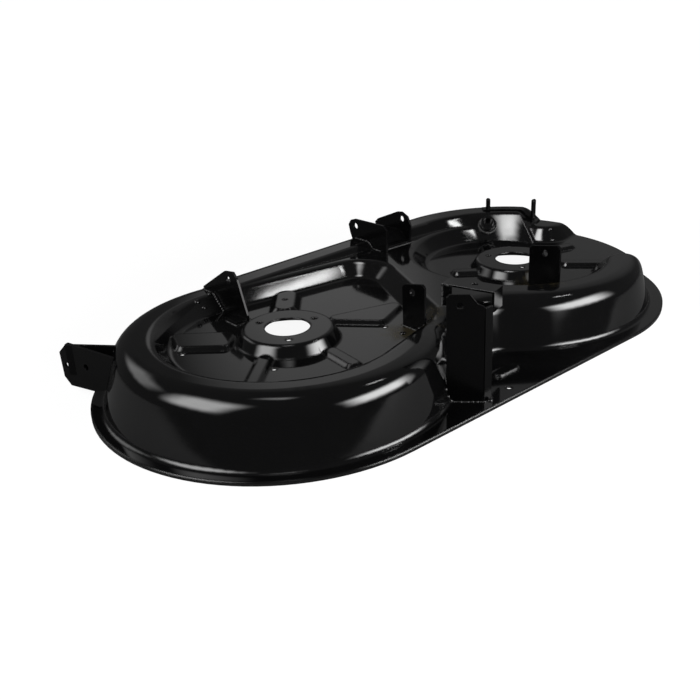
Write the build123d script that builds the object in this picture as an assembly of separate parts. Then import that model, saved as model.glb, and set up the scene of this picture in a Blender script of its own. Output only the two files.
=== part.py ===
from build123d import *
from functools import cache
from math import acos, atan, atan2, cos, degrees, pi, radians, sin, sqrt, tan
import os

# Steel thicknesses
SHEET = 2.5
PLATE = 4.0
STRIP = 3.0

# Chamber plan: two equal lobes with a waist between them on the rear side
LOBE_SPACING = 533.0
RIM_R = 300.0
WALL_R = 280.0
WAIST_R = 105.0

# Chamber section
ROOF = 100.0
ROOF_FALL = 0.020
DRAFT = 15.7
SHOULDER_R = 36.0
FOOT_R = 8.0
LIP = 6.0
SKIRT = 20.0
CLEAR = 2.0

# Pans, each the area inside a taut line round discs (x, y, radius), anticlockwise
PAN = 74.0
PAN_SLOPE = 45.0
PAN_EDGE_R = 16.0
PAN_FOOT_R = 10.0
LEFT_PAN = ((0, 0, 172), (168, -82, 45), (258, 106, 40))
RIGHT_PAN = (3, -14, 158)
SHELF = ((107, -40, 20), (287, -290, 20), (367, 20, 20))
SHELF_CORNER_R = 60.0

# Tunnel along the front, rising towards the discharge
TUNNEL_R = 270.0
TUNNEL_IN_R = 172.0
TUNNEL_RISE = 0.012
TUNNEL_DRAFT = 6.0
TUNNEL_SHOULDER_R = 30.0
TUNNEL_START = 70.0
TUNNEL_END = 22.0
TUNNEL_FLOOR = 34.0

# Discharge mouth, seen from the right lobe's centre
MOUTH_TURN = 42.0
MOUTH_WIDTH = 180.0
MOUTH_HEIGHT = 76.0
MOUTH_CORNER_R = 25.0
MOUTH_REACH = 215.0

# Stiffening pads pressed up out of each pan: discs and height of the top
PAD_SLOPE = 45.0
PAD_ROOT = 5.0
LEFT_PADS = (
    (((-112, 116, 10), (-124, 84, 10), (-78, 44, 10), (-54, 68, 10)), 81.0),
    (((84, 98, 16), (122, 142, 16)), 84.0),
    (((-62, -45, 8), (-134, -110, 8)), 80.0),
    (((118, 0, 10), (165, -52, 10), (222, -26, 10)), 81.0),
    (((28, -96, 9), (22, -150, 9)), 80.0),
)
RIGHT_PADS = (
    (((-103, 20, 8), (-63, -12, 8)), 80.0),
    (((79, -92, 9), (135, -150, 9)), 80.0),
    (((95, -14, 9), (167, -30, 9)), 80.0),
)

# Spindle seats: place from the lobe's centre and height
LEFT_SEAT = (17.0, -2.0, 94.0)
RIGHT_SEAT = (-1.0, -33.0, 82.0)
SEAT_R = 72.0
SEAT_DEPTH = 32.0
SEAT_SLOPE = 30.0
SEAT_EDGE_R = 6.0
BORE_R = 36.0
BOLT_PCD = 102.0
BOLT_R = 4.5
BOLT_COUNT = 3
BOLT_TURN = 115.0

# Drain and guard holes in the left pan, and a slot
PAN_HOLES = ((-68, -79), (-137, 64), (104, 121), (158, -75))
PAN_HOLE_R = 4.0
PAN_SLOT = (-55, -158)
PAN_SLOT_LENGTH = 26.0
PAN_SLOT_TURN = -48.0

# Oval pressing and drain hole in the flat web at the waist, from the middle of the rear edge
OVAL_AT = (1.5, 64.0)
OVAL_LENGTH = 54.0
OVAL_WIDTH = 20.0
OVAL_RISE = 4.0
DRAIN_AT = (-38.5, 23.0)
DRAIN_R = 4.0

# Holes for lift pins and screws in the brackets
PIN_R = 6.0
SCREW_R = 5.0

# Wheel bracket on the left wall: plan line of the outer plate, then of the web behind it
WHEEL_AT = (-236, 108)
WHEEL_TURN = 103.6
WHEEL_PLATE = ((-8, 40), (-8, 92), (100, 92), (122, 72), (120, 30), (106, 17), (48, 21))
WHEEL_SCREWS = ((60, 60), (108, 52))
WEB_AT = (-261, 204)
WEB_TURN = -50.0
WEB_PLATE = ((0, 40), (0, 92), (110, 92), (110, 40))

# Lift hangers: distance across the deck, side outline (y, height), pin hole and foot
LEFT_HANGER_X = 12.0
LEFT_HANGER = ((103, 60), (103, 84), (124, 142), (134, 153), (160, 149), (233, 104), (233, 60))
LEFT_PIN = (150, 136)
LEFT_FOOT = (26, 26)
REAR_HANGER_X = 185.0
REAR_HANGER = ((-139, 50), (-139, 146), (-133, 150), (-95, 142), (-89, 136), (-89, 50))
REAR_PIN = (-112, 132)
RIGHT_HANGER_X = -53.0
RIGHT_HANGER = ((-174, 40), (-174, 144), (-168, 148), (-114, 137), (-108, 131), (-108, 40))
RIGHT_PIN = (-142, 129)
RIGHT_FOOT = (40, 44)

# Rear post at the waist
POST_AT = (132, -236)
POST_TURN = -45.7
POST_WIDTH = 55.0
POST_TOP = 177.0
POST_STEP = 158.0
POST_FOLD = 16.0
POST_SCREW = (20, 160)

# Bridge bracket on the ridge, from the middle of the waist
BRIDGE_AT = (36.5, -131.0)
BRIDGE_TURN = 17.0
BRIDGE_WIDTH = 34.0
BRIDGE_LENGTH = 96.0
BRIDGE_TOP = 118.0
BRIDGE_TAB = 36.0
BRIDGE_HOLE = (2.0, -4.0)

# Clevis on the front hump, from the right lobe's centre: base, then side outlines of its lugs
CLEVIS_AT = (-118, 210)
CLEVIS_WIDTH = 78.0
CLEVIS_DEPTH = 90.0
LEFT_LUG = ((150, 80), (148, 136), (158, 144), (240, 142), (252, 138), (259, 128), (255, 112), (240, 80))
LEFT_LUG_PIN = (238, 128)
RIGHT_LUG = ((172, 80), (168, 124), (176, 140), (192, 147), (206, 145), (262, 121), (272, 112), (255, 80))
RIGHT_LUG_PIN = (192, 133)

# Chute hinge: strip along the tunnel's crest and its prongs
HINGE_INSET = 42.0
HINGE_WIDTH = 20.0
HINGE_TURNS = (20.0, 51.0)
PRONG_INSET = 3.0
PRONG_WIDTH = 14.0
PRONG_TOP = 131.0

# Hose port on the tunnel's inner slope
PORT_TURN = 50.0
PORT_UP = 4.0
PORT_R = 16.0
PORT_HOLE_R = 11.0
PORT_LENGTH = 12.0


def waist_y():
    """Return y of the centre of the waist's arc."""
    return -sqrt((WALL_R + WAIST_R) ** 2 - (LOBE_SPACING / 2) ** 2)


def chamber_plan(grow):
    """Return the chamber's plan with its wall moved out by grow."""
    r = WALL_R + grow
    k = r / (WALL_R + WAIST_R)
    mid = LOBE_SPACING / 2
    left = Vector(mid * k, waist_y() * k)
    right = Vector(LOBE_SPACING - mid * k, waist_y() * k)
    front_left = Vector(0, r)
    front_right = Vector(LOBE_SPACING, r)
    return make_face([
        ThreePointArc(front_left, (-r, 0), left),
        ThreePointArc(left, (mid, waist_y() + WAIST_R - grow), right),
        ThreePointArc(right, (LOBE_SPACING + r, 0), front_right),
        Line(front_right, front_left),
    ])


def rim_plan(r):
    """Return the plan of the rim, a slot of end radius r round both lobes."""
    return Pos(LOBE_SPACING / 2, 0) * SlotCenterToCenter(LOBE_SPACING, 2 * r)


def taut(discs, grow):
    """Return the area inside a taut line round discs given anticlockwise."""
    lean = []
    for (x, y, r), (nx, ny, nr) in zip(discs, discs[1:] + discs[:1]):
        span = sqrt((nx - x) ** 2 + (ny - y) ** 2)
        lean.append(atan2(ny - y, nx - x) - acos((r - nr) / span))
    edges = []
    for n, (x, y, r) in enumerate(discs):
        sweep = (lean[n] - lean[n - 1]) % (2 * pi)
        on = []
        for part in (0, 0.5, 1):
            a = lean[n - 1] + part * sweep
            on.append(Vector(x + (r + grow) * cos(a), y + (r + grow) * sin(a)))
        if edges:
            edges.append(Line(edges[-1] @ 1, on[0]))
        edges.append(ThreePointArc(*on))
    edges.append(Line(edges[-1] @ 1, edges[0] @ 0))
    return make_face(edges)


def right_pan(grow):
    """Return the right pan's plan, open on its right to the low shelf."""
    x, y, r = RIGHT_PAN
    plan = Pos(x, y) * Rot(0, 0, -20) * Circle(r + grow) + taut(SHELF, grow)
    corners = [v for v in plan.vertices() if v.X < x + 1.2 * r]
    return Pos(LOBE_SPACING, 0) * fillet(corners, SHELF_CORNER_R - grow)


def dome(skin, foot_r, draft, shoulder):
    """Return the chamber as a drafted block with a rounded shoulder."""
    base = chamber_plan(foot_r - WALL_R + SKIRT * tan(radians(draft)) - skin)
    body = extrude(Pos(0, 0, -SKIRT) * base, amount=ROOF - skin + SKIRT, taper=draft)
    return fillet(body.faces().sort_by(Axis.Z)[-1].edges(), shoulder - skin)


def pocket(body, tool, top):
    """Return body less tool, with the new edges round its flat top rounded."""
    old = [e for e in body.edges() if abs(e.center().Z - top) < 0.01]
    cut = body - tool
    level = [e for e in cut.edges() if e.bounding_box().size.Z < 0.01]
    level = [e for e in level if abs(e.center().Z - top) < 0.01]
    fresh = [e for e in level if all(o.distance_to(e @ 0.5) > 0.1 for o in old)]
    return fillet(fresh, PAN_EDGE_R)


def tunnel(skin):
    """Return the raised front hump, cut clear of the pans and ramped at both ends."""
    slope = tan(radians(PAN_SLOPE))
    far = 3 * RIM_R
    centre = Vector(LOBE_SPACING, 0)
    out = Vector(cos(radians(TUNNEL_END)), sin(radians(TUNNEL_END)))
    side = Vector(-out.Y, out.X)

    # Only the front band of a second dome is kept, from a ramp at its start to a heel at its end
    inside = TUNNEL_IN_R / 2
    heel = centre + out * inside - side * (PAN - TUNNEL_FLOOR)
    corner = heel + out * far
    band = make_face(Polyline((-far, far), (-far, inside), (LOBE_SPACING, inside), heel, corner,
                              (corner.X, far), close=True))
    start = TUNNEL_START + skin / cos(radians(PAN_SLOPE))
    ramp = make_face(Polyline((start - (ROOF + SKIRT) * slope, -SKIRT), (2 * far, -SKIRT),
                              (2 * far, 2 * ROOF), (start + ROOF * slope, 2 * ROOF), close=True))
    body = dome(skin, TUNNEL_R, TUNNEL_DRAFT, TUNNEL_SHOULDER_R)
    body = body & extrude(Pos(0, 0, -SKIRT) * band, amount=2 * ROOF)
    body = body & extrude(Plane.XZ * ramp, amount=-far)

    # Its inner slope and end slope
    grow = skin * tan(radians(PAN_SLOPE / 2)) - (PAN - TUNNEL_FLOOR) * slope
    r = TUNNEL_IN_R + grow
    inner_end = centre + out * sqrt(r ** 2 - grow ** 2) + side * grow
    outer_end = inner_end + out * far
    half = radians(45 + TUNNEL_END / 2)
    plan = make_face([
        Line((-far, r), (LOBE_SPACING, r)),
        ThreePointArc((LOBE_SPACING, r), centre + Vector(cos(half), sin(half)) * r, inner_end),
        Line(inner_end, outer_end),
        Line(outer_end, (outer_end.X, -far)),
        Line((outer_end.X, -far), (-far, -far)),
        Line((-far, -far), (-far, r)),
    ])
    height = ROOF - TUNNEL_FLOOR + CLEAR
    tool = extrude(Pos(0, 0, TUNNEL_FLOOR - skin) * plan, amount=height, taper=-PAN_SLOPE)
    body = pocket(body, tool, ROOF - skin)
    return Rot(0, -degrees(atan(TUNNEL_RISE)), 0) * body


def seats():
    """Return the place and height of each spindle seat."""
    x, y, z = RIGHT_SEAT
    return LEFT_SEAT, (LOBE_SPACING + x, y, z)


@cache
def chambers(skin):
    """Return the solid under both chambers' outer face, moved in by skin, without the tunnel."""
    body = dome(skin, WALL_R, DRAFT, SHOULDER_R)
    grow = skin * tan(radians(PAN_SLOPE / 2))
    for plan in (taut(LEFT_PAN, grow), right_pan(grow)):
        tool = extrude(Pos(0, 0, PAN - skin) * plan, amount=ROOF - PAN + CLEAR, taper=-PAN_SLOPE)
        tool = fillet(tool.faces().sort_by(Axis.Z)[0].edges(), PAN_FOOT_R + skin)
        body = pocket(body, tool, ROOF - skin)
    for x, pads in ((0, LEFT_PADS), (LOBE_SPACING, RIGHT_PADS)):
        for discs, top in pads:
            height = top - PAN + PAD_ROOT
            lean = height * tan(radians(PAD_SLOPE)) - skin * tan(radians(PAD_SLOPE / 2))
            foot = Pos(x, 0, top - height - skin) * taut(discs, lean)
            body = body + extrude(foot, amount=height, taper=PAD_SLOPE)
    body = Rot(0, degrees(atan(ROOF_FALL)), 0) * body
    for x, y, z in seats():
        lean = SEAT_DEPTH * tan(radians(SEAT_SLOPE)) - skin * tan(radians(45 - SEAT_SLOPE / 2))
        seat = Pos(x, y, z - SEAT_DEPTH - skin) * Circle(SEAT_R + lean)
        seat = extrude(seat, amount=SEAT_DEPTH, taper=SEAT_SLOPE)
        body = body + fillet(seat.faces().sort_by(Axis.Z)[-1].edges(), SEAT_EDGE_R - skin)
    return body


@cache
def form(skin):
    """Return the solid under the shell's outer face, moved in by skin."""
    return chambers(skin) + tunnel(skin)


def footed(body, plate, radius):
    """Return body standing on a level plate, with the corner between them rounded."""
    top = plate.bounding_box().max.Z
    whole = body + plate
    level = [e for e in whole.edges() if e.bounding_box().size.Z < 0.01]
    level = [e for e in level if abs(e.center().Z - top) < 0.01]
    rim = plate.edges()
    return fillet([e for e in level if all(o.distance_to(e @ 0.5) > 0.1 for o in rim)], radius)


def slab(low, high):
    """Return a slab of the rim's plan between two heights."""
    return extrude(Pos(0, 0, low) * rim_plan(RIM_R), amount=high - low)


@cache
def outside():
    """Return the solid under the shell's outer face, with its flange and rounded wall foot."""
    low = LIP - SHEET
    above = slab(low, 2 * ROOF)
    return footed(chambers(0) & above, slab(low, LIP), FOOT_R) + (tunnel(0) & above)


def pressing():
    """Return the shell before it is pierced, a sheet of even thickness with a lip."""
    low = LIP - SHEET
    core = chambers(SHEET) & slab(low, 2 * ROOF)
    inside = footed(core, slab(-SKIRT, low), FOOT_R + SHEET) + tunnel(SHEET)
    lip = extrude(rim_plan(RIM_R) - rim_plan(RIM_R - SHEET), amount=LIP)
    return outside() - inside + lip


def deck_shell():
    """Return the pressed shell with its bores, holes and discharge mouth."""
    low = LIP - SHEET
    edge = Pos(LOBE_SPACING / 2, -RIM_R, low)
    rise = edge * Pos(*OVAL_AT) * SlotOverall(OVAL_LENGTH, OVAL_WIDTH)
    hollow = edge * Pos(*OVAL_AT) * SlotOverall(OVAL_LENGTH - 2 * SHEET, OVAL_WIDTH - 2 * SHEET)
    shell = pressing() + extrude(rise, amount=SHEET + OVAL_RISE) - extrude(hollow, amount=OVAL_RISE)
    for x, y, z in seats():
        ring = Pos(x, y, z) * PolarLocations(BOLT_PCD / 2, BOLT_COUNT, BOLT_TURN)
        shell = shell - Pos(x, y, z) * Cylinder(BORE_R, SEAT_DEPTH)
        shell = shell - [spot * Cylinder(BOLT_R, SEAT_DEPTH) for spot in ring]
    shell = shell - [Pos(x, y, PAN) * Cylinder(PAN_HOLE_R, SEAT_DEPTH) for x, y in PAN_HOLES]
    slot = Rot(0, 0, PAN_SLOT_TURN) * SlotOverall(PAN_SLOT_LENGTH, 2 * PAN_HOLE_R)
    shell = shell - extrude(Pos(*PAN_SLOT, PAN) * slot, amount=SEAT_DEPTH / 2, both=True)
    shell = shell - edge * Pos(*DRAIN_AT) * Cylinder(DRAIN_R, 2 * LIP)
    mouth = fillet(Rectangle(MOUTH_WIDTH, 2 * MOUTH_HEIGHT).vertices(), MOUTH_CORNER_R)
    a = radians(MOUTH_TURN)
    out = Vector(cos(a), sin(a), 0)
    start = Vector(LOBE_SPACING, 0, 0) + out * MOUTH_REACH
    face = Plane(origin=start, x_dir=(-sin(a), cos(a), 0), z_dir=out)
    return shell - extrude(face * mouth, amount=RIM_R)


def upright(start, turn, outline, thick, holes=(), hole_r=PIN_R):
    """Return a vertical plate standing on a plan line.

    The outline and the holes are given as (distance along the line, height)."""
    a = radians(turn)
    plane = Plane(origin=(*start, 0), x_dir=(cos(a), sin(a), 0), z_dir=(sin(a), -cos(a), 0))
    sheet = make_face(Polyline(*outline, close=True))
    for s, z in holes:
        sheet = sheet - Pos(s, z) * Circle(hole_r)
    return extrude(plane * sheet, amount=thick)


def hugging(plan, thick):
    """Return a sheet of the given plan and thickness that lies on the shell."""
    column = extrude(Pos(0, 0, LIP) * plan, amount=2 * ROOF)
    return (column & form(-thick)) - form(0)


def wheel_bracket():
    """Return the bent bracket for a gauge wheel on the left wall."""
    outer = upright(WHEEL_AT, WHEEL_TURN, WHEEL_PLATE, PLATE, WHEEL_SCREWS, SCREW_R)
    web = upright(WEB_AT, WEB_TURN, WEB_PLATE, PLATE)
    return (outer + web) - form(0)


def left_hanger():
    """Return the front lift hanger on the left lobe, with a foot on the pan."""
    plate = upright((LEFT_HANGER_X, 0), 90, LEFT_HANGER, PLATE, (LEFT_PIN,))
    wide, deep = LEFT_FOOT
    foot = Pos(LEFT_HANGER_X + PLATE - wide / 2, LEFT_HANGER[0][0] + deep / 2) * Rectangle(wide, deep)
    return (plate + hugging(foot, PLATE)) - form(0)


def rear_hanger():
    """Return the rear lift hanger that stands in the left pan."""
    return upright((REAR_HANGER_X, 0), 90, REAR_HANGER, PLATE, (REAR_PIN,)) - form(0)


def right_hanger():
    """Return the rear lift hanger in the right pan, with its foot."""
    x = LOBE_SPACING + RIGHT_HANGER_X
    plate = upright((x, 0), 90, RIGHT_HANGER, PLATE, (RIGHT_PIN,))
    wide, deep = RIGHT_FOOT
    foot = Pos(x + PLATE - wide / 2, RIGHT_PIN[0]) * Rectangle(wide, deep)
    return (plate + hugging(foot, PLATE)) - form(0)


def rear_post():
    """Return the tall rear post with a sloped shoulder and a folded edge."""
    w = POST_WIDTH
    shoulder = ((w, POST_STEP), (w - 9, POST_STEP + 4), (w - 21, POST_TOP))
    outline = ((0, LIP), (w, LIP), *shoulder, (4, POST_TOP), (0, POST_TOP - 4))
    plate = upright(POST_AT, POST_TURN, outline, PLATE, (POST_SCREW,), SCREW_R)
    a = radians(POST_TURN)
    edge = (POST_AT[0] + w * cos(a) - PLATE / 2, POST_AT[1] + w * sin(a))
    flap = ((0, LIP), (POST_FOLD, LIP), (POST_FOLD, POST_STEP - 2), (0, POST_STEP - 2))
    return (plate + upright(edge, 0, flap, PLATE)) - outside()


def belt_bracket():
    """Return the bridge bracket on the ridge between the pans."""
    place = Pos(LOBE_SPACING / 2 + BRIDGE_AT[0], BRIDGE_AT[1], BRIDGE_TOP) * Rot(0, 0, BRIDGE_TURN)
    end = BRIDGE_LENGTH / 2 - PLATE / 2
    up = (Align.CENTER, Align.CENTER, Align.MAX)
    top = place * Box(BRIDGE_WIDTH, BRIDGE_LENGTH, PLATE, align=up)
    tab = place * Pos(0, -end, 0) * Box(BRIDGE_WIDTH, PLATE, BRIDGE_TAB, align=up)
    leg = place * Pos(0, end, 0) * Box(BRIDGE_WIDTH, PLATE, BRIDGE_TOP - PAN, align=up)
    hole = place * Pos(*BRIDGE_HOLE, 0) * Cylinder(PIN_R, 4 * PLATE)
    return (top + tab + leg) - form(0) - hole


def front_clevis():
    """Return the clevis on the front hump, a base and two lugs."""
    x = LOBE_SPACING + CLEVIS_AT[0]
    base = hugging(Pos(x, CLEVIS_AT[1]) * Rectangle(CLEVIS_WIDTH, CLEVIS_DEPTH), PLATE)
    left = upright((x - CLEVIS_WIDTH / 2, 0), 90, LEFT_LUG, -PLATE, (LEFT_LUG_PIN,))
    right = upright((x + CLEVIS_WIDTH / 2, 0), 90, RIGHT_LUG, PLATE, (RIGHT_LUG_PIN,))
    return (base + left + right) - form(0)


def chute_hinge():
    """Return the hinge strip for the chute, with its two prongs."""
    centre = Pos(LOBE_SPACING, 0)
    r = TUNNEL_R - HINGE_INSET
    ring = Circle(r) - Circle(r - HINGE_WIDTH)
    a, b = (radians(t) for t in HINGE_TURNS)
    wedge = Polyline((0, 0), (2 * r * cos(a), 2 * r * sin(a)), (2 * r * cos(b), 2 * r * sin(b)), close=True)
    piece = hugging(centre * (ring & make_face(wedge)), STRIP)
    up = (Align.CENTER, Align.CENTER, Align.MAX)
    for turn in (HINGE_TURNS[0] + PRONG_INSET, HINGE_TURNS[1] - PRONG_INSET):
        prong = Pos(r - HINGE_WIDTH / 2, 0, PRONG_TOP) * Box(PRONG_WIDTH, STRIP, PRONG_TOP - PAN, align=up)
        piece = piece + centre * Rot(0, 0, turn) * prong
    return piece - form(0)


def wash_port():
    """Return the collar round the hose port in the tunnel's inner slope."""
    a = radians(PORT_TURN)
    s = radians(PAN_SLOPE)
    out = Vector(cos(a), sin(a), 0)
    foot = Vector(LOBE_SPACING, 0, PAN) + out * TUNNEL_IN_R
    foot = foot + Vector(0, 0, TUNNEL_RISE * foot.X) + out * PORT_UP + Vector(0, 0, PORT_UP * tan(s))
    seat = Plane(origin=foot, z_dir=Vector(0, 0, cos(s)) - out * sin(s))
    collar = Cylinder(PORT_R, 2 * PORT_LENGTH) - Cylinder(PORT_HOLE_R, 2 * PORT_LENGTH)
    return seat * collar - form(0)


PIECES = {
    "deck_shell": deck_shell,
    "wheel_bracket": wheel_bracket,
    "left_hanger": left_hanger,
    "rear_hanger": rear_hanger,
    "right_hanger": right_hanger,
    "rear_post": rear_post,
    "belt_bracket": belt_bracket,
    "front_clevis": front_clevis,
    "chute_hinge": chute_hinge,
    "wash_port": wash_port,
}

os.makedirs("parts", exist_ok=True)
for name, make in PIECES.items():
    piece = Pos(-LOBE_SPACING / 2, 0, 0) * make()
    export_step(piece, f"parts/{name}.step")
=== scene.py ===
"""Studio view of a bare mower deck: gloss paint, eased plates, weld beads, light and camera."""

import logging
import math
import random
from dataclasses import dataclass
from enum import Enum
from functools import partial, reduce

import bmesh
import bpy
from mathutils import Matrix, Vector
from mathutils.bvhtree import BVHTree


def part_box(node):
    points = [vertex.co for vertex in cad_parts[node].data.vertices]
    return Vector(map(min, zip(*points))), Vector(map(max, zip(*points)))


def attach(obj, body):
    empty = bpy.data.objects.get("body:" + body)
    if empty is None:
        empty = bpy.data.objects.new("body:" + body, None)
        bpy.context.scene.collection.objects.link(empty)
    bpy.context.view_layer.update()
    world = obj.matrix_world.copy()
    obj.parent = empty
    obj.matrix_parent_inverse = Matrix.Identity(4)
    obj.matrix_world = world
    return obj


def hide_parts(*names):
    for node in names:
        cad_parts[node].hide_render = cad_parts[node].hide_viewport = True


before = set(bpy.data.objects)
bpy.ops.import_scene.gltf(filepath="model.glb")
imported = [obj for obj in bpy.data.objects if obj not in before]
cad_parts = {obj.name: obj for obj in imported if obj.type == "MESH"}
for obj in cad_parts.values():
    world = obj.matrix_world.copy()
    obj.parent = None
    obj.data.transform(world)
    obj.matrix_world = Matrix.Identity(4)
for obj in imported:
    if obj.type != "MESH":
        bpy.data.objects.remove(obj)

log = logging.getLogger("mower_deck")
logging.basicConfig(level=logging.INFO, format="%(name)s: %(message)s")

BODY = "root"
MM = 0.001
IMAGE_PX = 700.0
SENSOR_MM = 36.0
WHITE = (1.0, 1.0, 1.0, 1.0)
DOWN = Vector((0.0, 0.0, -1.0))
VECTOR_MATH = "ShaderNodeVectorMath"

Triple = tuple[float, float, float]
Feed = bpy.types.NodeSocket | Vector | float


def mm(x: float, y: float, z: float) -> Vector:
    """Return a point given in millimetres as a vector in metres."""
    return Vector((x, y, z)) * MM


def settle(name: str, bm: bmesh.types.BMesh) -> bpy.types.Mesh:
    """Turn a finished bmesh into a mesh.

    Args:
        name: name of the mesh.
        bm: the bmesh, which is freed.

    Returns:
        The mesh.
    """
    mesh = bpy.data.meshes.new(name)
    bm.to_mesh(mesh)
    bm.free()
    return mesh


def put(name: str, data: bpy.types.ID) -> bpy.types.Object:
    """Link a new object to the scene.

    Args:
        name: name of the object.
        data: its mesh, light or camera.

    Returns:
        The object, at the origin.
    """
    made = bpy.data.objects.new(name, data)
    bpy.context.scene.collection.objects.link(made)
    return made


class Sheen(Enum):
    """How glossy a paint dries: its roughness where it is clean and what a film of dust adds."""

    GLOSS = (0.06, 0.03)
    SATIN = (0.20, 0.08)

    @property
    def clean(self) -> float:
        """Roughness of the clean paint."""
        return self.value[0]

    @property
    def dusty(self) -> float:
        """Roughness under a full film of dust."""
        return self.value[0] + self.value[1]


@dataclass(frozen=True)
class Wiring:
    """Short ways to add and join nodes in one node tree."""

    tree: bpy.types.NodeTree

    def add(self, kind: str, **settings: object) -> bpy.types.Node:
        """Add a node and set its properties.

        Args:
            kind: Blender's name of the node type.
            settings: properties to set on the node.

        Returns:
            The new node.
        """
        node = self.tree.nodes.new(kind)
        for name, value in settings.items():
            setattr(node, name, value)
        return node

    def join(self, value: Feed, into: bpy.types.NodeSocket) -> None:
        """Give an input what it works on.

        Args:
            value: an output to link, or a plain value to set.
            into: the input.
        """
        if isinstance(value, bpy.types.NodeSocket):
            self.tree.links.new(value, into)
        else:
            into.default_value = value

    def math(self, operation: str, *values: Feed, kind: str = "ShaderNodeMath") -> bpy.types.NodeSocket:
        """Add a math node.

        Args:
            operation: Blender's name of the operation.
            values: what goes in, in order.
            kind: plain or vector math.

        Returns:
            The number that comes out.
        """
        node = self.add(kind, operation=operation)
        for value, into in zip(values, node.inputs):
            self.join(value, into)
        return node.outputs["Value"]

    def largest(self, *values: Feed) -> bpy.types.NodeSocket:
        """Return the largest of two or more values."""
        return reduce(partial(self.math, "MAXIMUM"), values)

    def noise(self, place: bpy.types.NodeSocket, scale: Feed, detail: float,
              roughness: float = 0.5) -> bpy.types.NodeSocket:
        """Add a noise texture.

        Args:
            place: coordinates of the pattern.
            scale: how fine it is.
            detail: how many finer layers it has.
            roughness: how strong those layers are.

        Returns:
            The noise, from 0 to 1.
        """
        node = self.add("ShaderNodeTexNoise")
        settings = {"Vector": place, "Scale": scale, "Detail": detail, "Roughness": roughness}
        for name, value in settings.items():
            self.join(value, node.inputs[name])
        return node.outputs["Fac"]

    def spread(self, value: bpy.types.NodeSocket, low: float, high: float,
               to_low: Feed, to_high: Feed) -> bpy.types.NodeSocket:
        """Add a map range node.

        Args:
            value: what is mapped.
            low: value that gives to_low.
            high: value that gives to_high.
            to_low: result at low.
            to_high: result at high.

        Returns:
            The mapped value.
        """
        node = self.add("ShaderNodeMapRange")
        ends = {"From Min": low, "From Max": high, "To Min": to_low, "To Max": to_high}
        self.join(value, node.inputs["Value"])
        for name, end in ends.items():
            self.join(end, node.inputs[name])
        return node.outputs["Result"]


@dataclass
class Effects:
    """Shader node groups that several finishes share, and what shapes their patterns."""

    peel_scale: float = 260.0
    peel_detail: float = 2.0
    wave_scale: float = 30.0
    wave_detail: float = 1.0
    wave_share: float = 6.0
    veil_scale: float = 9.0
    veil_detail: float = 6.0
    veil_roughness: float = 0.62
    veil_cover: tuple[float, float] = (0.38, 0.72)
    veil_level: float = 0.6
    level_from: float = 0.3
    scorch_scale: float = 70.0
    scorch_detail: float = 4.0
    scorch_fade: tuple[float, float] = (0.65, 1.45)
    scorch_reach_mm: float = 30.0

    def __post_init__(self) -> None:
        """Build each group once."""
        self.peel = self.make_peel()
        self.veil = self.make_veil()
        self.scorch = self.make_scorch()

    @staticmethod
    def start(name: str, inputs: dict[str, float],
              output: str) -> tuple[Wiring, bpy.types.Node, bpy.types.NodeSocket]:
        """Start a node group.

        Args:
            name: name of the group.
            inputs: name and first value of each input.
            output: name of what it puts out.

        Returns:
            The group's wiring, its input node and the socket that takes the result.
        """
        group = bpy.data.node_groups.new(name, "ShaderNodeTree")
        for label, value in inputs.items():
            socket = group.interface.new_socket(label, in_out="INPUT", socket_type="NodeSocketFloat")
            socket.default_value = value
        group.interface.new_socket(output, in_out="OUTPUT", socket_type="NodeSocketFloat")
        wiring = Wiring(group)
        source = wiring.add("NodeGroupInput")
        return wiring, source, wiring.add("NodeGroupOutput").inputs[output]

    def make_peel(self) -> bpy.types.NodeTree:
        """Build the fine waviness that sprayed paint dries with.

        Returns:
            A group that puts out a height.
        """
        inputs = {"Scale": self.peel_scale, "Waves": self.wave_scale}
        w, source, height = self.start("paint_peel", inputs, "Height")
        place = w.add("ShaderNodeTexCoord").outputs["Object"]
        fine = w.noise(place, source.outputs["Scale"], self.peel_detail)
        broad = w.noise(place, source.outputs["Waves"], self.wave_detail)
        w.join(w.math("MULTIPLY_ADD", broad, self.wave_share, fine), height)
        return w.tree

    def make_veil(self) -> bpy.types.NodeTree:
        """Build the uneven film of handling marks and dust on level faces.

        Returns:
            A group that puts out a mask.
        """
        inputs = {"Scale": self.veil_scale, "Level": self.veil_level}
        w, source, mask = self.start("dust_veil", inputs, "Mask")
        place = w.add("ShaderNodeTexCoord").outputs["Object"]
        cloud = w.noise(place, source.outputs["Scale"], self.veil_detail, self.veil_roughness)
        normal = w.add("ShaderNodeSeparateXYZ")
        w.join(w.add("ShaderNodeNewGeometry").outputs["Normal"], normal.inputs["Vector"])
        steep = w.math("SUBTRACT", 1.0, source.outputs["Level"])
        level = w.spread(normal.outputs["Z"], self.level_from, 1.0, steep, 1.0)
        cover = w.spread(cloud, *self.veil_cover, 0.0, 1.0)
        w.join(w.math("MULTIPLY", cover, level), mask)
        return w.tree

    def make_scorch(self) -> bpy.types.NodeTree:
        """Build the ragged round patch where the heat of a weld has dulled the paint.

        Returns:
            A group that puts out a mask.
        """
        inputs = {"X": 0.0, "Y": 0.0, "Z": 0.0, "Radius": self.scorch_reach_mm * MM}
        w, source, mask = self.start("scorch_mark", inputs, "Mask")
        place = w.add("ShaderNodeTexCoord").outputs["Object"]
        middle = w.add("ShaderNodeCombineXYZ")
        for axis in "XYZ":
            w.join(source.outputs[axis], middle.inputs[axis])
        reach = w.math("DISTANCE", place, middle.outputs["Vector"], kind=VECTOR_MATH)
        share = w.math("DIVIDE", reach, source.outputs["Radius"])
        ragged = w.math("ADD", share, w.noise(place, self.scorch_scale, self.scorch_detail))
        w.join(w.spread(ragged, *self.scorch_fade, 1.0, 0.0), mask)
        return w.tree


@dataclass(frozen=True)
class Scorch:
    """A patch of paint dulled by the heat of a weld: its middle and reach, in millimetres."""

    middle: Triple
    reach: float


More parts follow.
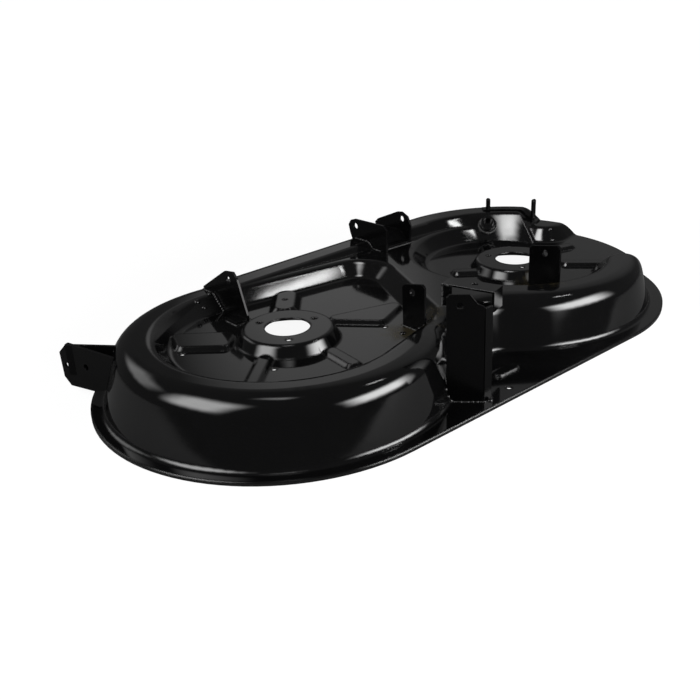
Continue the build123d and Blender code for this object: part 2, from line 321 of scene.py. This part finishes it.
@dataclass(frozen=True)
class Paint:
    """One finish of black paint on steel."""

    name: str
    sheen: Sheen
    colour: Triple
    dust: Triple
    peel: float
    bump_mm: float
    ior: float
    edge_mm: float
    edge_samples: int = 6
    scorches: tuple[Scorch, ...] = ()
    burnt: Triple = (0.045, 0.036, 0.017)
    burnt_roughness: float = 0.36

    def scorched(self, w: Wiring, effects: Effects) -> bpy.types.NodeSocket:
        """Join the masks of all the scorch marks.

        Args:
            w: wiring of the material.
            effects: shared node groups.

        Returns:
            A mask that is 1 where the paint is burnt.
        """
        masks = []
        for mark in self.scorches:
            node = w.add("ShaderNodeGroup", node_tree=effects.scorch)
            for name, value in zip(("X", "Y", "Z", "Radius"), (*mark.middle, mark.reach)):
                node.inputs[name].default_value = value * MM
            masks.append(node.outputs["Mask"])
        return w.largest(*masks)

    def material(self, effects: Effects) -> bpy.types.Material:
        """Build the material.

        Args:
            effects: shared node groups.

        Returns:
            A material with peel, dust and uneven gloss.
        """
        made = bpy.data.materials.new(self.name)
        made.use_nodes = True
        w = Wiring(made.node_tree)
        shader = w.tree.nodes["Principled BSDF"]
        shader.inputs["IOR"].default_value = self.ior
        veil = w.add("ShaderNodeGroup", node_tree=effects.veil).outputs["Mask"]
        tint = w.add("ShaderNodeMix", data_type="RGBA")
        tint.inputs["A"].default_value = (*self.colour, 1.0)
        tint.inputs["B"].default_value = (*self.dust, 1.0)
        w.join(veil, tint.inputs["Factor"])
        colour = tint.outputs["Result"]
        gloss = w.spread(veil, 0.0, 1.0, self.sheen.clean, self.sheen.dusty)
        if self.scorches:
            burn = self.scorched(w, effects)
            brown = w.add("ShaderNodeMix", data_type="RGBA")
            brown.inputs["B"].default_value = (*self.burnt, 1.0)
            w.join(colour, brown.inputs["A"])
            w.join(burn, brown.inputs["Factor"])
            colour = brown.outputs["Result"]
            gloss = w.spread(burn, 0.0, 1.0, gloss, self.burnt_roughness)
        w.join(colour, shader.inputs["Base Color"])
        w.join(gloss, shader.inputs["Roughness"])
        peel = w.add("ShaderNodeGroup", node_tree=effects.peel)
        peel.inputs["Scale"].default_value = self.peel
        edge = w.add("ShaderNodeBevel", samples=self.edge_samples)
        edge.inputs["Radius"].default_value = self.edge_mm * MM
        bump = w.add("ShaderNodeBump")
        bump.inputs["Distance"].default_value = self.bump_mm * MM
        bump.inputs["Strength"].default_value = 1.0
        w.join(peel.outputs["Height"], bump.inputs["Height"])
        w.join(edge.outputs["Normal"], bump.inputs["Normal"])
        w.join(bump.outputs["Normal"], shader.inputs["Normal"])
        return made


SHELL_PAINT = Paint(
    "shell_paint", Sheen.GLOSS, (0.0020, 0.0020, 0.0022), (0.0045, 0.0045, 0.0048),
    peel=240.0, bump_mm=0.004, ior=1.75, edge_mm=5.0,
    scorches=(
        Scorch((-98.0, -120.0, 72.0), 52.0),
        Scorch((-52.0, -116.0, 84.0), 34.0),
        Scorch((200.0, -146.0, 68.0), 62.0),
    ),
)
PLATE_PAINT = Paint(
    "plate_paint", Sheen.SATIN, (0.0022, 0.0022, 0.0024), (0.0045, 0.0045, 0.0048),
    peel=320.0, bump_mm=0.006, ior=1.30, edge_mm=0.8,
)
BRIDGE_PAINT = Paint(
    "bridge_paint", Sheen.GLOSS, (0.0022, 0.0022, 0.0024), (0.0055, 0.0055, 0.0058),
    peel=320.0, bump_mm=0.006, ior=1.75, edge_mm=0.8,
)
WELD_PAINT = Paint(
    "weld_paint", Sheen.GLOSS, (0.0025, 0.0025, 0.0026), (0.0060, 0.0058, 0.0054),
    peel=420.0, bump_mm=0.010, ior=1.75, edge_mm=0.2,
)


@dataclass
class Shell:
    """The pressed shell, dressed as it comes from the CAD frame."""

    node: str = "deck_shell"

    def dress(self, paint: bpy.types.Material) -> bpy.types.Object:
        """Paint the shell.

        Args:
            paint: gloss finish.

        Returns:
            The shell's object.
        """
        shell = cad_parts[self.node]
        shell.data.materials.clear()
        shell.data.materials.append(paint)
        return shell


@dataclass
class Plates:
    """The welded plate brackets, copied with eased edges."""

    nodes: tuple[str, ...] = (
        "wheel_bracket", "left_hanger", "rear_hanger", "right_hanger", "rear_post",
        "belt_bracket", "front_clevis", "chute_hinge", "wash_port",
    )
    glossy: tuple[str, ...] = ("belt_bracket", "wash_port")
    ease_mm: float = 0.7
    ease_segments: int = 2
    sharp_deg: float = 40.0
    flat_deg: float = 1.5
    merge_mm: float = 0.005
    slot: str = "bracket_paint"

    def eased(self, node: str) -> bpy.types.Object:
        """Copy a plate and round its sharp edges.

        Args:
            node: name of the CAD node.

        Returns:
            A new object in the node's place.
        """
        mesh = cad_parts[node].data.copy()
        bm = bmesh.new()
        bm.from_mesh(mesh)
        bmesh.ops.remove_doubles(bm, verts=bm.verts, dist=self.merge_mm * MM)
        bmesh.ops.dissolve_limit(bm, angle_limit=math.radians(self.flat_deg), verts=bm.verts,
                                 edges=bm.edges)
        limit = math.radians(self.sharp_deg)
        sharp = [e for e in bm.edges if e.is_manifold and e.calc_face_angle(0.0) > limit]
        bmesh.ops.bevel(bm, geom=sharp, offset=self.ease_mm * MM, offset_type="OFFSET",
                        affect="EDGES", segments=self.ease_segments, profile=0.5, material=-1,
                        clamp_overlap=True)
        bm.to_mesh(mesh)
        bm.free()
        stale = mesh.attributes.get("custom_normal")
        if stale:
            mesh.attributes.remove(stale)
        return put(node + "_plate", mesh)

    def build(self, satin: bpy.types.Material, gloss: bpy.types.Material) -> list[bpy.types.Object]:
        """Make and paint all the plates.

        Args:
            satin: finish of most plates.
            gloss: finish of the plates that were painted with the shell.

        Returns:
            The new objects.
        """
        made = []
        for node in self.nodes:
            piece = self.eased(node)
            piece.data.materials.clear()
            piece.data.materials.append(gloss if node in self.glossy else satin)
            for face in piece.data.polygons:
                face.use_smooth = False
            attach(piece, BODY)
            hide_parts(node)
            made.append(piece)
        return made


@dataclass
class HingeHooks:
    """The upright ends of the chute's hinge, rounded off over their flat cores."""

    node: str = "chute_hinge"
    half_mm: tuple[float, float] = (7.8, 4.6)
    height_mm: float = 36.0
    over_mm: float = 0.8
    round_mm: float = 3.4
    round_segments: int = 4
    sides: int = 24
    crease_deg: float = 50.0
    top_band_mm: float = 0.5
    digits: int = 5
    slot: str = "bracket_paint"

    def cores(self) -> list[tuple[Vector, float]]:
        """Find the flat cores in the frame.

        Returns:
            The middle of each core's top and the direction of its wide side, in radians.
        """
        points = [v.co.copy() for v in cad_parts[self.node].data.vertices]
        top = max(p.z for p in points) - self.top_band_mm * MM
        spots = {tuple(round(n, self.digits) for n in p) for p in points if p.z > top}
        corners = [Vector(s) for s in sorted(spots)]
        split = (corners[0].x + corners[-1].x) / 2.0
        found = []
        for group in ([c for c in corners if c.x < split], [c for c in corners if c.x >= split]):
            middle = sum(group, Vector()) / len(group)
            arms = [c - middle for c in group]
            skew = 2.0 * sum(a.x * a.y for a in arms)
            found.append((middle, math.atan2(skew, sum(a.x ** 2 - a.y ** 2 for a in arms)) / 2.0))
        return found

    def build(self, paint: bpy.types.Material) -> bpy.types.Object:
        """Make both hooks.

        Args:
            paint: satin finish.

        Returns:
            One object that holds the two bars.
        """
        bm = bmesh.new()
        long, wide = (h * MM for h in self.half_mm)
        tall = self.height_mm * MM
        for middle, turn in self.cores():
            centre = middle + mm(0.0, 0.0, self.over_mm) - Vector((0.0, 0.0, tall / 2.0))
            lean = Matrix.Translation(centre) @ Matrix.Rotation(turn, 4, "Z")
            bar = bmesh.ops.create_cone(bm, cap_ends=True, segments=self.sides, radius1=1.0,
                                        radius2=1.0, depth=1.0,
                                        matrix=lean @ Matrix.Diagonal((long, wide, tall, 1.0)))
            upper = [v for v in bar["verts"] if v.co.z > middle.z]
            rim = dict.fromkeys(e for v in upper for e in v.link_edges
                                if e.other_vert(v).co.z > middle.z)
            bmesh.ops.bevel(bm, geom=list(rim), offset=self.round_mm * MM, offset_type="OFFSET",
                            affect="EDGES", segments=self.round_segments, profile=0.5, material=-1,
                            clamp_overlap=True)
        mesh = settle("chute_hinge_hooks", bm)
        mesh.shade_smooth()
        mesh.set_sharp_from_angle(angle=math.radians(self.crease_deg))
        mesh.materials.append(paint)
        piece = put(mesh.name, mesh)
        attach(piece, BODY)
        return piece


@dataclass(frozen=True)
class Seam:
    """A straight weld: where it starts and ends in plan, in millimetres."""

    bracket: str
    start: tuple[float, float]
    end: tuple[float, float]


@dataclass
class WeldBeads:
    """Beads of weld metal along the feet of the brackets, laid on the shell."""

    seams: tuple[Seam, ...] = (
        Seam("left_hanger", (-278.0, 103.0), (-278.0, 130.0)),
        Seam("left_hanger", (-277.0, 101.6), (-252.0, 101.6)),
        Seam("left_hanger", (-256.0, 172.0), (-256.0, 230.0)),
        Seam("rear_hanger", (-83.0, -138.0), (-83.0, -90.0)),
        Seam("rear_hanger", (-76.0, -138.0), (-76.0, -90.0)),
        Seam("right_hanger", (176.0, -163.0), (176.0, -121.0)),
        Seam("right_hanger", (178.0, -165.6), (217.0, -165.6)),
        Seam("right_hanger", (219.0, -172.0), (219.0, -110.0)),
        Seam("rear_post", (-138.6, -240.0), (-99.6, -280.0)),
        Seam("front_clevis", (104.2, 166.0), (104.2, 236.0)),
        Seam("front_clevis", (110.0, 163.6), (187.0, 163.6)),
        Seam("front_clevis", (193.0, 174.0), (193.0, 240.0)),
    )
    tacks: tuple[tuple[str, float, float], ...] = (
        ("left_hanger", -294.0, 192.0),
        ("left_hanger", -287.0, 183.0),
        ("left_hanger", -262.0, 201.0),
        ("left_hanger", -249.0, 108.0),
        ("rear_hanger", -108.0, -116.0),
        ("rear_hanger", -94.0, -141.0),
        ("rear_post", -90.0, -284.0),
    )
    tack_size: float = 1.7
    pitch_mm: float = 3.4
    bead_mm: Triple = (3.3, 2.9, 2.0)
    bead_subdivisions: int = 2
    growth: tuple[float, float] = (0.82, 1.12)
    stray_mm: float = 0.4
    reach_mm: float = 200.0
    port_node: str = "wash_port"
    port_count: int = 34
    port_r_mm: float = 17.4
    port_rise_mm: float = 30.0
    seed: int = 21
    slot: str = "bracket_paint"

    @staticmethod
    def surface(shell: bpy.types.Object) -> BVHTree:
        """Make the shell searchable.

        Args:
            shell: the shell's object.

        Returns:
            A search tree of its triangles.
        """
        bm = bmesh.new()
        bm.from_mesh(shell.data)
        tree = BVHTree.FromBMesh(bm)
        bm.free()
        return tree

    def lay(self, bm: bmesh.types.BMesh, spot: Vector, normal: Vector, along: Vector,
            chance: random.Random, size: float = 1.0) -> None:
        """Add one ripple of weld to a mesh.

        Args:
            bm: mesh that takes the ripple.
            spot: point on the shell.
            normal: the shell's normal there.
            along: direction of the seam.
            chance: source of small differences.
            size: how much larger than a ripple of a seam.
        """
        side = normal.cross(along).normalized()
        ahead = side.cross(normal)
        grow = size * chance.uniform(*self.growth)
        lean = Matrix((ahead, side, normal)).transposed().to_4x4()
        long, wide, tall = (v * MM * grow for v in self.bead_mm)
        stray = side * chance.uniform(-self.stray_mm, self.stray_mm) * MM
        shape = Matrix.Translation(spot + stray) @ lean @ Matrix.Diagonal((long, wide, tall, 1.0))
        bmesh.ops.create_icosphere(bm, subdivisions=self.bead_subdivisions, radius=1.0, matrix=shape)

    def straight(self, bm: bmesh.types.BMesh, tree: BVHTree, seam: Seam, chance: random.Random) -> None:
        """Lay the ripples of one straight seam, dropped onto the shell from above.

        Args:
            bm: mesh that takes the ripples.
            tree: the shell.
            seam: where the weld runs.
            chance: source of small differences.
        """
        start, end = (mm(*p, self.reach_mm) for p in (seam.start, seam.end))
        along = (end - start).normalized()
        count = max(2, round((end - start).length / (self.pitch_mm * MM)))
        for n in range(count + 1):
            spot, normal, _, _ = tree.ray_cast(start.lerp(end, n / count), DOWN)
            if spot:
                self.lay(bm, spot, normal, along, chance)

    def tack(self, bm: bmesh.types.BMesh, tree: BVHTree, x: float, y: float, chance: random.Random) -> None:
        """Drop one large spot of weld onto the shell.

        Args:
            bm: mesh that takes the spot.
            tree: the shell.
            x: its place in plan, in millimetres.
            y: its place in plan, in millimetres.
            chance: source of small differences.
        """
        spot, normal, _, _ = tree.ray_cast(mm(x, y, self.reach_mm), DOWN)
        if spot:
            self.lay(bm, spot, normal, Vector((1.0, 0.0, 0.0)), chance, self.tack_size)

    def ring(self, bm: bmesh.types.BMesh, tree: BVHTree, chance: random.Random) -> None:
        """Lay the ripples round the hose port, pressed against the slope that carries it.

        Args:
            bm: mesh that takes the ripples.
            tree: the shell.
            chance: source of small differences.
        """
        low, high = (Vector(c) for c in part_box(self.port_node))
        middle = (low + high) / 2.0
        _, normal, _, _ = tree.find_nearest(middle)
        across = normal.orthogonal().normalized()
        rise = normal * (self.port_rise_mm * MM)
        for n in range(self.port_count):
            arm = Matrix.Rotation(math.tau * n / self.port_count, 3, normal) @ across
            spot, face, _, _ = tree.ray_cast(middle + arm * self.port_r_mm * MM + rise, -normal)
            if spot:
                self.lay(bm, spot, face, normal.cross(arm), chance)

    def build(self, shell: bpy.types.Object, paint: bpy.types.Material) -> list[bpy.types.Object]:
        """Make the beads of every bracket.

        Args:
            shell: the shell that the beads lie on.
            paint: finish of the beads.

        Returns:
            One object for each bracket that has seams.
        """
        tree = self.surface(shell)
        chance = random.Random(self.seed)
        made = []
        for bracket in (*dict.fromkeys(s.bracket for s in self.seams), self.port_node):
            bm = bmesh.new()
            for seam in self.seams:
                if seam.bracket == bracket:
                    self.straight(bm, tree, seam, chance)
            for owner, x, y in self.tacks:
                if owner == bracket:
                    self.tack(bm, tree, x, y, chance)
            if bracket == self.port_node:
                self.ring(bm, tree, chance)
            mesh = settle(bracket + "_weld", bm)
            mesh.shade_smooth()
            mesh.materials.append(paint)
            piece = put(mesh.name, mesh)
            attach(piece, BODY)
            made.append(piece)
        return made


@dataclass
class PhotoCamera:
    """The photograph's viewpoint, in the deck's frame."""

    name: str = "photo_camera"
    place_mm: Triple = (-1009.795, -1068.758, 646.275)
    yaw_deg: float = 50.2924
    pitch_deg: float = 24.6035
    roll_deg: float = 2.8832
    focal_px: float = 900.0

    def build(self) -> bpy.types.Object:
        """Make the scene's camera.

        Returns:
            The camera object.
        """
        yaw, pitch, roll = (math.radians(a) for a in (self.yaw_deg, self.pitch_deg, self.roll_deg))
        ahead = Vector((math.cos(yaw), math.sin(yaw), 0.0))
        right = Vector((math.sin(yaw), -math.cos(yaw), 0.0))
        up = Vector((0.0, 0.0, 1.0))
        look = ahead * math.cos(pitch) - up * math.sin(pitch)
        down = -(up * math.cos(pitch) + ahead * math.sin(pitch))
        turned_right = right * math.cos(roll) + down * math.sin(roll)
        turned_up = right * math.sin(roll) - down * math.cos(roll)
        data = bpy.data.cameras.new(self.name)
        data.sensor_width = SENSOR_MM
        data.lens = self.focal_px / IMAGE_PX * SENSOR_MM
        camera = put(self.name, data)
        axes = Matrix((turned_right, turned_up, -look)).transposed().to_4x4()
        camera.matrix_world = Matrix.Translation(mm(*self.place_mm)) @ axes
        bpy.context.scene.camera = camera
        return camera


@dataclass(frozen=True)
class Softbox:
    """A rectangular studio light with a cloth front, its place and size in metres."""

    name: str
    place: Triple
    target: Triple
    size: tuple[float, float]
    watts: float
    spread_deg: float = 180.0
    soft_edge: float = 0.35
    middle: float = 0.5

    def grade(self, data: bpy.types.Light) -> None:
        """Let the box fade towards its edges, as a cloth front does.

        Args:
            data: the light that gets the fade.
        """
        data.use_nodes = True
        w = Wiring(data.node_tree)
        spot = w.add("ShaderNodeSeparateXYZ")
        w.join(w.add("ShaderNodeNewGeometry").outputs["Parametric"], spot.inputs["Vector"])
        fades = []
        for axis in "XY":
            inward = w.math("PINGPONG", spot.outputs[axis], self.middle)
            fade = w.spread(inward, 0.0, self.soft_edge, 0.0, 1.0)
            fade.node.interpolation_type = "SMOOTHSTEP"
            fades.append(fade)
        w.join(w.math("MULTIPLY", *fades), w.tree.nodes["Emission"].inputs["Strength"])

    def build(self) -> bpy.types.Object:
        """Make the light.

        Returns:
            The light object, aimed at its target.
        """
        data = bpy.data.lights.new(self.name, "AREA")
        data.shape = "RECTANGLE"
        data.size, data.size_y = self.size
        data.energy = self.watts
        data.spread = math.radians(self.spread_deg)
        self.grade(data)
        lamp = put(self.name, data)
        lamp.location = self.place
        aim = Vector(self.target) - Vector(self.place)
        lamp.rotation_euler = aim.to_track_quat("-Z", "Y").to_euler()
        lamp.visible_camera = False
        return lamp


@dataclass(frozen=True)
class Patch:
    """A pale round area in the dark room that the paint mirrors."""

    azimuth_deg: float
    height_deg: float
    core_deg: float
    edge_deg: float
    light: float

    @property
    def axis(self) -> Vector:
        """Direction of the patch's middle."""
        turn, rise = math.radians(self.azimuth_deg), math.radians(self.height_deg)
        return Vector((math.cos(rise) * math.cos(turn), math.cos(rise) * math.sin(turn), math.sin(rise)))

    def glow(self, w: Wiring, direction: bpy.types.NodeSocket) -> bpy.types.NodeSocket:
        """Add the patch to the world.

        Args:
            w: wiring of the world.
            direction: the direction that is looked up.

        Returns:
            The light of the patch, fading to nothing at its edge.
        """
        nearness = w.math("DOT_PRODUCT", direction, self.axis, kind=VECTOR_MATH)
        edge, core = (math.cos(math.radians(a)) for a in (self.edge_deg, self.core_deg))
        return w.spread(nearness, edge, core, 0.0, self.light)


@dataclass
class Studio:
    """Floor, surrounding light and softboxes."""

    floor_half: float = 40.0
    floor_drop_mm: float = 0.2
    floor_grey: float = 0.14
    floor_roughness: float = 0.9
    floor_specular: float = 0.1
    lift_reach: tuple[float, float] = (0.6, 1.3)
    lift: tuple[float, float] = (0.93, 1.0)
    mirrored: float = 0.03
    room_light: float = 0.05
    patches: tuple[Patch, ...] = (
        Patch(azimuth_deg=51.5, height_deg=21.5, core_deg=4.0, edge_deg=10.0, light=0.33),
        Patch(azimuth_deg=30.0, height_deg=30.0, core_deg=14.0, edge_deg=34.0, light=0.14),
    )
    boxes: tuple[Softbox, ...] = (
        Softbox("top_strip", (1.05, -0.785, 2.05), (1.05, -0.785, 0.0), (0.50, 0.06), 1.35, soft_edge=0.2),
        Softbox("top_box", (-0.15, -0.05, 2.05), (0.42, 0.08, 0.08), (0.74, 1.05), 1.15, 44.0),
        Softbox("right_box", (0.55, -1.50, 0.68), (-0.10, -0.25, 0.08), (2.00, 1.00), 54.0),
        Softbox("left_box", (-1.45, 0.04, 0.92), (-0.49, -0.11, 0.09), (1.40, 1.40), 26.0),
        Softbox("back_box", (-0.90, 1.70, 1.20), (-0.05, 0.25, 0.08), (2.20, 0.90), 6.0),
    )

    def seen(self, w: Wiring) -> bpy.types.NodeSocket:
        """Say how much of the floor's white a ray sees: all for the camera, a little in the paint.

        Args:
            w: wiring of the floor's material.

        Returns:
            A factor from 0 to 1.
        """
        path = w.add("ShaderNodeLightPath")
        either = w.largest(path.outputs["Is Glossy Ray"], path.outputs["Is Transmission Ray"])
        return w.math("MULTIPLY_ADD", either, self.mirrored, path.outputs["Is Camera Ray"])

    def floor(self) -> bpy.types.Object:
        """Make the pale floor.

        Returns:
            The floor.
        """
        bm = bmesh.new()
        bmesh.ops.create_grid(bm, x_segments=1, y_segments=1, size=self.floor_half)
        bmesh.ops.translate(bm, verts=bm.verts, vec=mm(0.0, 0.0, -self.floor_drop_mm))
        floor = put("floor", settle("floor", bm))
        made = bpy.data.materials.new("floor_white")
        made.use_nodes = True
        w = Wiring(made.node_tree)
        shader = w.tree.nodes["Principled BSDF"]
        shader.inputs["Base Color"].default_value = (*[self.floor_grey] * 3, 1.0)
        shader.inputs["Roughness"].default_value = self.floor_roughness
        shader.inputs["Specular IOR Level"].default_value = self.floor_specular
        shader.inputs["Emission Color"].default_value = WHITE
        place = w.add("ShaderNodeTexCoord").outputs["Object"]
        reach = w.math("LENGTH", place, kind=VECTOR_MATH)
        lift = w.spread(reach, *self.lift_reach, *self.lift)
        w.join(w.math("MULTIPLY", self.seen(w), lift), shader.inputs["Emission Strength"])
        floor.data.materials.append(made)
        return floor

    def surround(self) -> None:
        """Make the world: white to the camera, and to the paint a dim room with two pale patches."""
        world = bpy.data.worlds.new("studio")
        world.use_nodes = True
        bpy.context.scene.world = world
        w = Wiring(world.node_tree)
        ground = w.tree.nodes["Background"]
        ground.inputs["Color"].default_value = WHITE
        direction = w.add("ShaderNodeTexCoord").outputs["Generated"]
        camera = w.add("ShaderNodeLightPath").outputs["Is Camera Ray"]
        glows = [patch.glow(w, direction) for patch in self.patches]
        w.join(w.largest(camera, *glows, self.room_light), ground.inputs["Strength"])

    def build(self) -> list[bpy.types.Object]:
        """Set up the whole stage.

        Returns:
            The floor and the lights.
        """
        self.surround()
        return [self.floor(), *(box.build() for box in self.boxes)]


def main() -> None:
    """Dress the deck, set the stage and report each piece."""
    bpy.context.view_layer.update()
    effects = Effects()
    shell_paint = SHELL_PAINT.material(effects)
    plate_paint = PLATE_PAINT.material(effects)
    shell = Shell().dress(shell_paint)
    pieces = [
        shell,
        *Plates().build(plate_paint, BRIDGE_PAINT.material(effects)),
        HingeHooks().build(plate_paint),
        *WeldBeads().build(shell, WELD_PAINT.material(effects)),
    ]
    for piece in pieces:
        log.info("%s: %d faces", piece.name, len(piece.data.polygons))
    for prop in (*Studio().build(), PhotoCamera().build()):
        log.info("stage: %s", prop.name)
    bpy.context.scene.view_settings.view_transform = "Standard"


if __name__ == "__main__":
    main()
